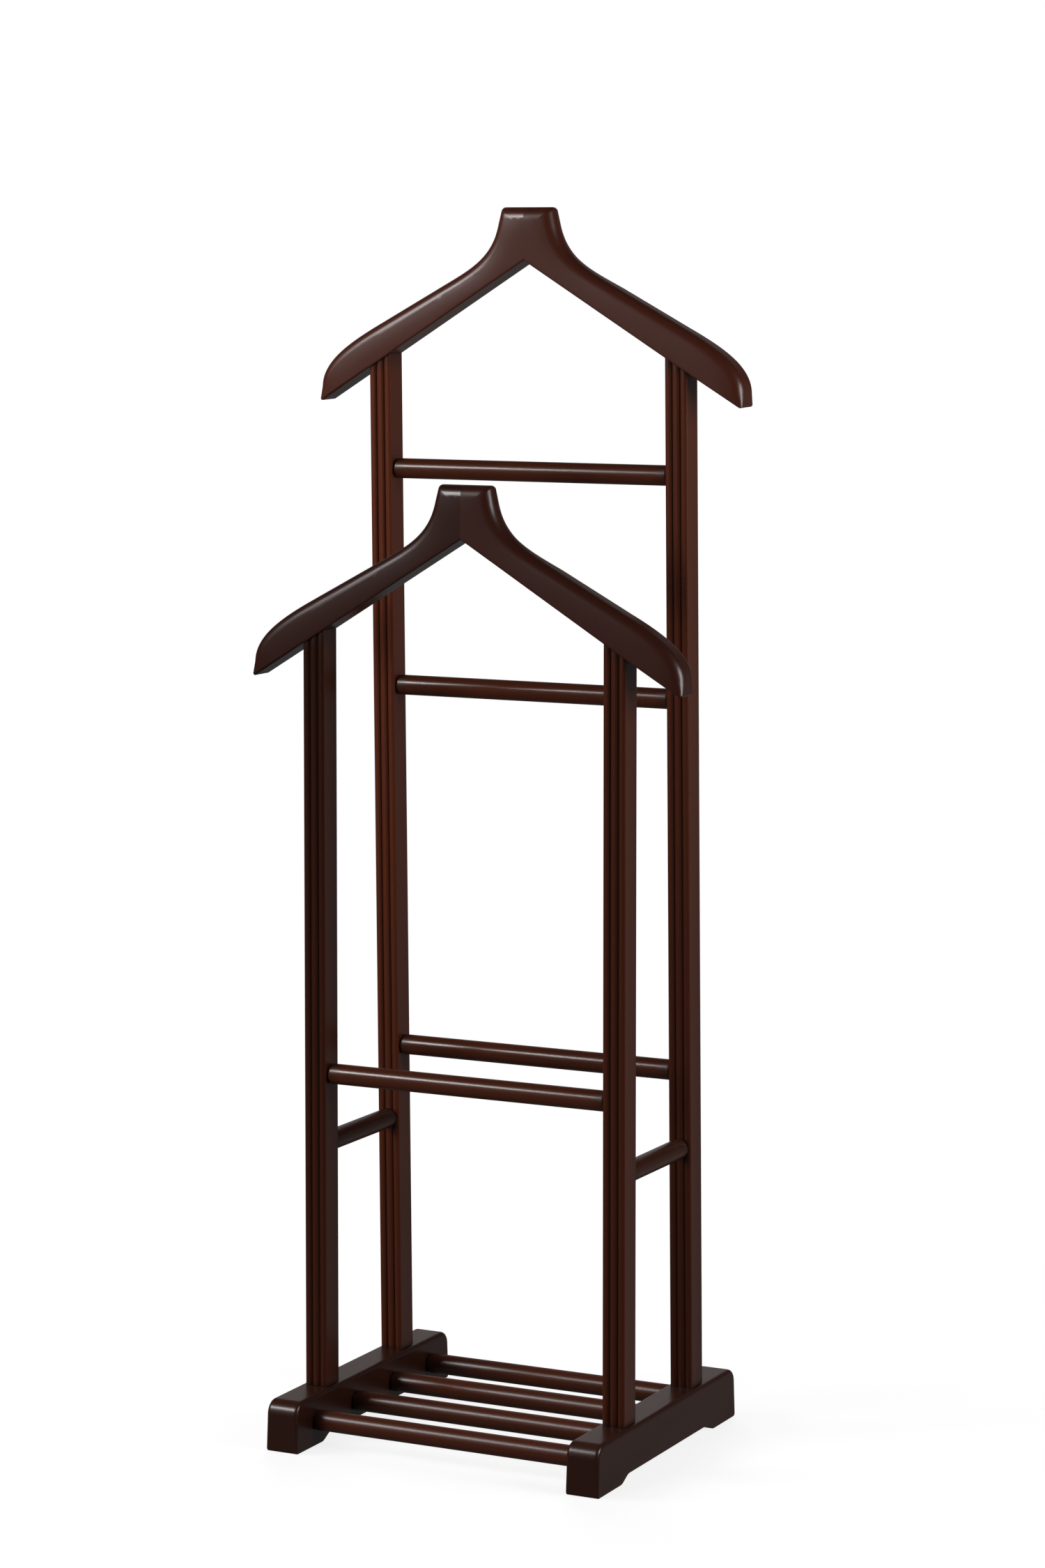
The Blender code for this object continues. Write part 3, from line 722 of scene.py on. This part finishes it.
def hanger_ring(edge, normals, share, facing):
    """The right half's outline, moved in by a share of its rounding, with the neck's soft corner."""
    ring = []
    for (x, z, front, back), normal in zip(edge, normals):
        radius = back if facing > 0 else front
        ring.append((x + normal.x * radius * share, z + normal.y * radius * share, radius))
    apex_rise = LOWER_ROUND * share * math.hypot(1.0, UNDERSIDE_SLOPE)
    ring[0] = (GLUE_LINE / 2, edge[0][1] + apex_rise, LOWER_ROUND)
    top_round = ring[-1][2]
    top = NECK_HEIGHT - top_round * share
    side = normals[-1]
    climb = Vector((side.y, -side.x))
    start = Vector(ring[-1][:2])
    center_z = top - NECK_CORNER_RADIUS
    up_side = (center_z - start.y - NECK_CORNER_RADIUS * side.y) / climb.y
    center = start + climb * up_side + side * NECK_CORNER_RADIUS
    first = math.degrees(math.atan2(-side.y, -side.x))
    ring += [(x, z, top_round) for x, z in arc(center, NECK_CORNER_RADIUS, first, 90, ARC_SEGMENTS)]
    ring.append((GLUE_LINE / 2, top, top_round))
    return ring


def distance_to_line(x, z, line):
    """The shortest distance from a point to an open line of points."""
    nearest = math.inf
    for (ax, az), (bx, bz) in zip(line, line[1:]):
        dx = bx - ax
        dz = bz - az
        share = min(1.0, max(0.0, ((x - ax) * dx + (z - az) * dz) / (dx * dx + dz * dz)))
        nearest = min(nearest, math.hypot(x - ax - share * dx, z - az - share * dz))
    return nearest


def crowned(mesh, line):
    """Crown the front: cut its flat face into a grid, and let it fall away towards the upper edge."""
    bm = bmesh.new()
    bm.from_mesh(mesh)
    bm.faces.ensure_lookup_table()
    front = min(bm.faces, key=lambda face: (round(face.normal.y, 3), -face.calc_area()))
    low = [min(vert.co[axis] for vert in front.verts) for axis in range(3)]
    high = [max(vert.co[axis] for vert in front.verts) for axis in range(3)]
    side = 1.0 if low[0] + high[0] > 0 else -1.0
    across_arm = Vector((side * GRAIN_SLOPE, 0.0, 1.0)).normalized()
    faces = [front]
    for direction in (Vector((1.0, 0.0, 0.0)), across_arm):
        corners = [direction.dot(Vector((x, 0.0, z))) for x in (low[0], high[0]) for z in (low[2], high[2])]
        count = int((max(corners) - min(corners)) / CROWN_GRID)
        for index in range(1, count + 1):
            geometry = set(faces)
            for face in faces:
                geometry.update(face.edges)
                geometry.update(face.verts)
            cut = bmesh.ops.bisect_plane(
                bm, geom=list(geometry), dist=CUT_TOLERANCE, plane_no=direction,
                plane_co=direction * (min(corners) + index * CROWN_GRID))
            faces = [item for item in cut["geom"] if isinstance(item, bmesh.types.BMFace)]
    for vert in bm.verts:
        if vert.co.y < 0.0:
            from_edge = max(0.0, CROWN_REACH - distance_to_line(abs(vert.co.x), vert.co.z, line))
            from_top = max(0.0, CROWN_REACH - (NECK_HEIGHT - vert.co.z))
            vert.co.y += CROWN_CURVE * from_edge ** 2 + TOP_CROWN_CURVE * from_top ** 2
    bm.to_mesh(mesh)
    bm.free()
    return mesh


def build_hanger_half(node, prefix, side, seed, tone):
    """One half of a hanger, with its grain along the arm."""
    half_width = extent(node).x + GAP / 2
    thickness = extent("front_hanger_left").y
    edge = hanger_edge(half_width)
    normals = inward_normals([point[:2] for point in edge] + [(GLUE_LINE / 2, NECK_HEIGHT)])[:len(edge)]
    last = (Vector(edge[-1][:2]) - Vector(edge[-2][:2])).normalized()
    normals[-1] = Vector((-last.y, last.x))

    def outline_at(share, facing):
        return [(side * x, z, radius) for x, z, radius in hanger_ring(edge, normals, share, facing)]

    apex = apex_height(prefix)
    matrix = frame_matrix(prefix) @ Matrix.Translation((0.0, 0.0, apex))
    rods = [pin_bore(prefix + "_neck_pin_" + label, 0, matrix) for label in ("lower", "upper")]
    rods.append(pin_bore(prefix + "_top_pin_" + ("right" if side > 0 else "left"), 2, matrix))
    end_top = next(index for index, point in enumerate(edge) if point[1] == TIP_TOP_Z)
    upper_line = [(half_width, 2 * TIP_TOP_Z)] + [point[:2] for point in edge[end_top:]]
    upper_line.append(tuple(Vector(edge[-1][:2]) + last * NECK_HEIGHT))
    plate = crowned(rounded_plate(node, outline_at, thickness), upper_line)
    mesh = finished(bored(plate, rods))
    along = Vector((side, 0.0, -GRAIN_SLOPE)).normalized()
    paint(mesh, along, Vector((0, 1, 0)), board_offset(seed), tone)
    mesh.transform(matrix)
    return add_piece(node, mesh, HANGER_WOOD)


# ---------------------------------------------------------------- runners

def runner_outline(length, height):
    """A runner from the side, as (y, z): flat foot pads, arched between them."""
    half = length / 2
    pad_end = half - FOOT_PAD_LENGTH
    arch_start = pad_end - ARCH_SHOULDER
    big = RUNNER_TOP_RADIUS
    toe = RUNNER_TOE_RADIUS
    reach = ARCH_SHOULDER * ARCH_EASE
    half_outline = bezier((arch_start, ARCH_HEIGHT), (arch_start + reach, ARCH_HEIGHT),
                          (pad_end - reach, 0.0), (pad_end, 0.0), ARCH_SEGMENTS)
    half_outline += arc((half - toe, toe), toe, -90, 0, ARC_SEGMENTS)
    half_outline += arc((half - big, height - big), big, 0, 90, 2 * ARC_SEGMENTS)
    return half_outline + [(-y, z) for y, z in reversed(half_outline)]


def build_runner(node, seed, tone):
    """A runner, with its grain front to back, bored for the shoe bars, the pins and the screws."""
    size = extent(node)
    outline = runner_outline(size.y, size.z)
    normals = inward_normals(outline)
    place = middle(node)
    foot = Matrix.Translation((place.x, place.y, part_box(node)[0].z))
    matrix = foot @ Matrix.Rotation(math.radians(90), 4, "Z")

    def outline_at(share, facing):
        ring = []
        for (x, z), normal in zip(outline, normals):
            above_floor = min(1.0, max(0.0, (z - ARCH_HEIGHT) / RUNNER_TOE_RADIUS))
            radius = RUNNER_FLOOR_ROUND + (RUNNER_EDGE_ROUND - RUNNER_FLOOR_ROUND) * above_floor
            ring.append((x + normal.x * radius * share, z + normal.y * radius * share, radius))
        return ring

    label = "right" if place.x > 0 else "left"
    rods = []
    for prefix in ("front", "rear"):
        rods.append(pin_bore(prefix + "_foot_pin_" + label, 2, matrix))
        rods += screw_bores(prefix + "_screw_" + label, matrix)
    for index in range(SHOE_BARS):
        rods.append(tenon_bore("shoe_bar_%d" % (index + 1), 0, matrix))
    mesh = finished(bored(rounded_plate(node, outline_at, size.x), rods))

    def stain_and_shade_of(point):
        end = 1.0 - (size.y / 2 - abs(point.x)) / END_GRAIN_REACH
        return END_GRAIN_STAIN * min(1.0, max(0.0, end))

    paint(mesh, Vector((1, 0, 0)), Vector((0, 0, 1)), board_offset(seed), tone, stain_and_shade_of)
    mesh.transform(matrix)
    return add_piece(node, mesh, RUNNER_WOOD)


# ---------------------------------------------------------------- the whole stand

# How light each board is painted. A post's two numbers are for its foot and its top.
HANGER_TONES = (
    ("front", "left", 0.42), ("front", "right", 0.60),
    ("rear", "left", 1.05), ("rear", "right", 1.0),
)
POST_TONES = (
    ("front", "left", (0.95, 0.45)), ("front", "right", (1.05, 1.05)),
    ("rear", "left", (1.25, 2.15)), ("rear", "right", (0.72, 1.6)),
)
STRETCHER_TONES = (("left", 0.45), ("right", 0.65))

for seed, (prefix, side_name, tone) in enumerate(HANGER_TONES, 1):
    side = -1 if side_name == "left" else 1
    build_hanger_half(prefix + "_hanger_" + side_name, prefix, side, seed, tone)
for seed, (prefix, side_name, tones) in enumerate(POST_TONES, 5):
    build_post(prefix + "_post_" + side_name, prefix, seed, tones)
for seed, rail in enumerate(RAILS, 10):
    build_stick(rail, 0, seed, 1.0, RAIL_WOOD)
for index in range(SHOE_BARS):
    build_stick("shoe_bar_%d" % (index + 1), 0, 20 + index, 1.0, BAR_WOOD)
for index, (side_name, tone) in enumerate(STRETCHER_TONES):
    build_stick("side_stretcher_" + side_name, 1, 30 + index, tone, RAIL_WOOD)
    build_runner("runner_" + side_name, 40 + index, 1.0)

for node_name, node_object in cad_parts.items():
    if "_pin_" in node_name:
        node_object.material_slots[0].material = PIN_WOOD
    elif "_screw_" in node_name:
        node_object.material_slots[0].material = SCREW_STEEL


# ---------------------------------------------------------------- floor, light and camera

FLOOR_RINGS = (0.5, 1.0, 2.0, 3.0, 4.0, 5.0, 6.0)
FLOOR_STEPS = 64
FLOOR_FADE = (0.35, 1.5)
FLOOR_GLOW = 0.83
FLOOR_COLORS = ((0.24, 0.24, 0.24), (0.215, 0.215, 0.215))


def build_floor():
    """A pale floor that melts into the pale surroundings."""
    bm = bmesh.new()
    center = bm.verts.new((0.0, 0.0, 0.0))
    before = None
    for radius in FLOOR_RINGS:
        ring = []
        for step in range(FLOOR_STEPS):
            angle = math.tau * step / FLOOR_STEPS
            ring.append(bm.verts.new((radius * math.cos(angle), radius * math.sin(angle), 0.0)))
        for step in range(FLOOR_STEPS):
            after = (step + 1) % FLOOR_STEPS
            if before:
                bm.faces.new((before[step], ring[step], ring[after], before[after]))
            else:
                bm.faces.new((center, ring[step], ring[after]))
        before = ring
    mesh = bpy.data.meshes.new("floor")
    bm.to_mesh(mesh)
    bm.free()
    n = Nodes("pale_floor")
    place = n.node("ShaderNodeTexCoord").outputs["Object"]
    distance = n.node("ShaderNodeVectorMath", operation="LENGTH")
    n.link(place, distance.inputs[0])
    fade = n.node("ShaderNodeMapRange", interpolation_type="SMOOTHSTEP")
    fade.inputs["From Min"].default_value = FLOOR_FADE[0]
    fade.inputs["From Max"].default_value = FLOOR_FADE[1]
    n.link(distance.outputs["Value"], fade.inputs["Value"])
    mottle = n.noise(place, (3.0, 3.0, 3.0), detail=4.0)
    n.link(n.mix(mottle, *FLOOR_COLORS), n.shader.inputs["Base Color"])
    n.shader.inputs["Roughness"].default_value = 0.9
    n.shader.inputs["Specular IOR Level"].default_value = 0.0
    n.shader.inputs["Emission Color"].default_value = (1.0, 1.0, 1.0, 1.0)
    n.shader.inputs["Emission Strength"].default_value = FLOOR_GLOW
    bright = n.node("ShaderNodeEmission")
    blend = n.node("ShaderNodeMixShader")
    n.link(fade.outputs["Result"], blend.inputs["Fac"])
    n.link(n.shader.outputs["BSDF"], blend.inputs[1])
    n.link(bright.outputs["Emission"], blend.inputs[2])
    n.link(blend.outputs["Shader"], n.tree.nodes["Material Output"].inputs["Surface"])
    mesh.materials.append(n.material)
    floor = bpy.data.objects.new("floor", mesh)
    floor.location.z = cad_low.z
    floor.visible_glossy = False
    floor.visible_diffuse = False
    bpy.context.scene.collection.objects.link(floor)


def add_light(name, place, target, width, height, power):
    """A soft box at place, facing target."""
    data = bpy.data.lights.new(name, "AREA")
    data.shape = "RECTANGLE"
    data.size = width
    data.size_y = height
    data.energy = power
    light = bpy.data.objects.new(name, data)
    light.location = place
    light.rotation_euler = (Vector(target) - Vector(place)).to_track_quat("-Z", "Y").to_euler()
    bpy.context.scene.collection.objects.link(light)
    return light


# Each soft box: its name, place, target, width, height and power, then whether it lights matt
# surfaces, and whether it shows in glossy ones.
FILL_TARGET = (0.0, 0.0, 0.6)
SOFTBOXES = (
    ("key_softbox", (-1.7, -1.95, 2.12), (-0.3, 0.0, 0.8), 0.9, 0.5, 36.0, False, True),
    ("side_softbox", (1.75, -0.09, 1.08), (0.0, 0.0, 1.0), 0.75, 0.95, 17.0, True, True),
    ("left_fill", (-2.4, -1.3, 1.9), FILL_TARGET, 1.2, 1.2, 50.0, True, False),
    ("front_fill", (-1.2, -2.8, 0.8), FILL_TARGET, 1.2, 1.2, 39.0, True, False),
    ("side_fill", (2.2, 0.4, 0.25), FILL_TARGET, 1.2, 1.2, 9.0, True, False),
    ("back_fill", (-1.2, 2.6, 1.9), FILL_TARGET, 2.0, 2.0, 60.0, True, False),
)

# How bright the studio is, from straight below (-1) to straight above (1).
STUDIO_LEVELS = (
    (-1.0, 0.05), (-0.75, 0.05), (-0.42, 0.08), (-0.22, 0.04),
    (0.0, 0.018), (0.4, 0.025), (1.0, 0.025),
)

# Soft pale panels behind the stand: direction, brightness, and where each starts and stops fading.
PANELS = (
    ((-0.35, 0.93, 0.08), 0.25, math.radians(14), math.radians(32)),
    ((0.45, 0.87, -0.20), 0.06, math.radians(10), math.radians(32)),
)


def build_world():
    """Plain white behind the stand, and a dim studio in what it reflects."""
    world = bpy.data.worlds.new("studio")
    bpy.context.scene.world = world
    world.use_nodes = True
    tree = world.node_tree
    tree.nodes.clear()
    link = tree.links.new
    output = tree.nodes.new("ShaderNodeOutputWorld")
    seen = tree.nodes.new("ShaderNodeBackground")
    seen.inputs["Color"].default_value = (1.0, 1.0, 1.0, 1.0)
    around = tree.nodes.new("ShaderNodeBackground")
    place = tree.nodes.new("ShaderNodeTexCoord")
    split = tree.nodes.new("ShaderNodeSeparateXYZ")
    lift = tree.nodes.new("ShaderNodeMapRange")
    lift.inputs["From Min"].default_value = -1.0
    ramp = tree.nodes.new("ShaderNodeValToRGB")
    link(place.outputs["Generated"], split.inputs["Vector"])
    link(split.outputs["Z"], lift.inputs["Value"])
    link(lift.outputs["Result"], ramp.inputs["Fac"])
    ends = ramp.color_ramp.elements
    for stop, (height, level) in zip((ends[0], ends[1]), (STUDIO_LEVELS[0], STUDIO_LEVELS[-1])):
        stop.position = (height + 1) / 2
        stop.color = (level, level, level, 1.0)
    for height, level in STUDIO_LEVELS[1:-1]:
        ends.new((height + 1) / 2).color = (level, level, level, 1.0)
    total = ramp.outputs["Color"]
    for direction, level, core, rim in PANELS:
        toward = tree.nodes.new("ShaderNodeVectorMath")
        toward.operation = "DOT_PRODUCT"
        toward.inputs[1].default_value = Vector(direction).normalized()
        link(place.outputs["Generated"], toward.inputs[0])
        panel = tree.nodes.new("ShaderNodeMapRange")
        panel.interpolation_type = "SMOOTHSTEP"
        panel.inputs["From Min"].default_value = math.cos(rim)
        panel.inputs["From Max"].default_value = math.cos(core)
        panel.inputs["To Max"].default_value = level
        link(toward.outputs["Value"], panel.inputs["Value"])
        added = tree.nodes.new("ShaderNodeMix")
        added.data_type = "RGBA"
        added.blend_type = "ADD"
        added.inputs["Factor"].default_value = 1.0
        link(total, added.inputs[6])
        link(panel.outputs["Result"], added.inputs[7])
        total = added.outputs[2]
    link(total, around.inputs["Color"])
    path = tree.nodes.new("ShaderNodeLightPath")
    mix = tree.nodes.new("ShaderNodeMixShader")
    link(path.outputs["Is Camera Ray"], mix.inputs["Fac"])
    link(around.outputs["Background"], mix.inputs[1])
    link(seen.outputs["Background"], mix.inputs[2])
    link(mix.outputs["Shader"], output.inputs["Surface"])


# The camera: its place, how far it is turned and tipped down, its lens, and how its frame is shifted.
CAMERA_PLACE = (1.7537, -3.4594, 1.1145)
CAMERA_YAW = math.radians(26.63)
CAMERA_PITCH = math.radians(4.24)
CAMERA_LENS = 97.2
CAMERA_RISE = -0.1498


def build_camera():
    data = bpy.data.cameras.new("camera")
    data.lens = CAMERA_LENS
    data.shift_y = CAMERA_RISE
    data.clip_end = 60.0
    camera = bpy.data.objects.new("camera", data)
    camera.location = CAMERA_PLACE
    camera.rotation_euler = (math.radians(90) - CAMERA_PITCH, 0.0, CAMERA_YAW)
    bpy.context.scene.collection.objects.link(camera)
    bpy.context.scene.camera = camera


build_floor()
build_world()
build_camera()
for name, place, target, width, height, power, lights_matt, shows_in_gloss in SOFTBOXES:
    softbox = add_light(name, place, target, width, height, power)
    softbox.visible_diffuse = lights_matt
    softbox.visible_glossy = shows_in_gloss
bpy.context.scene.view_settings.view_transform = "Standard"
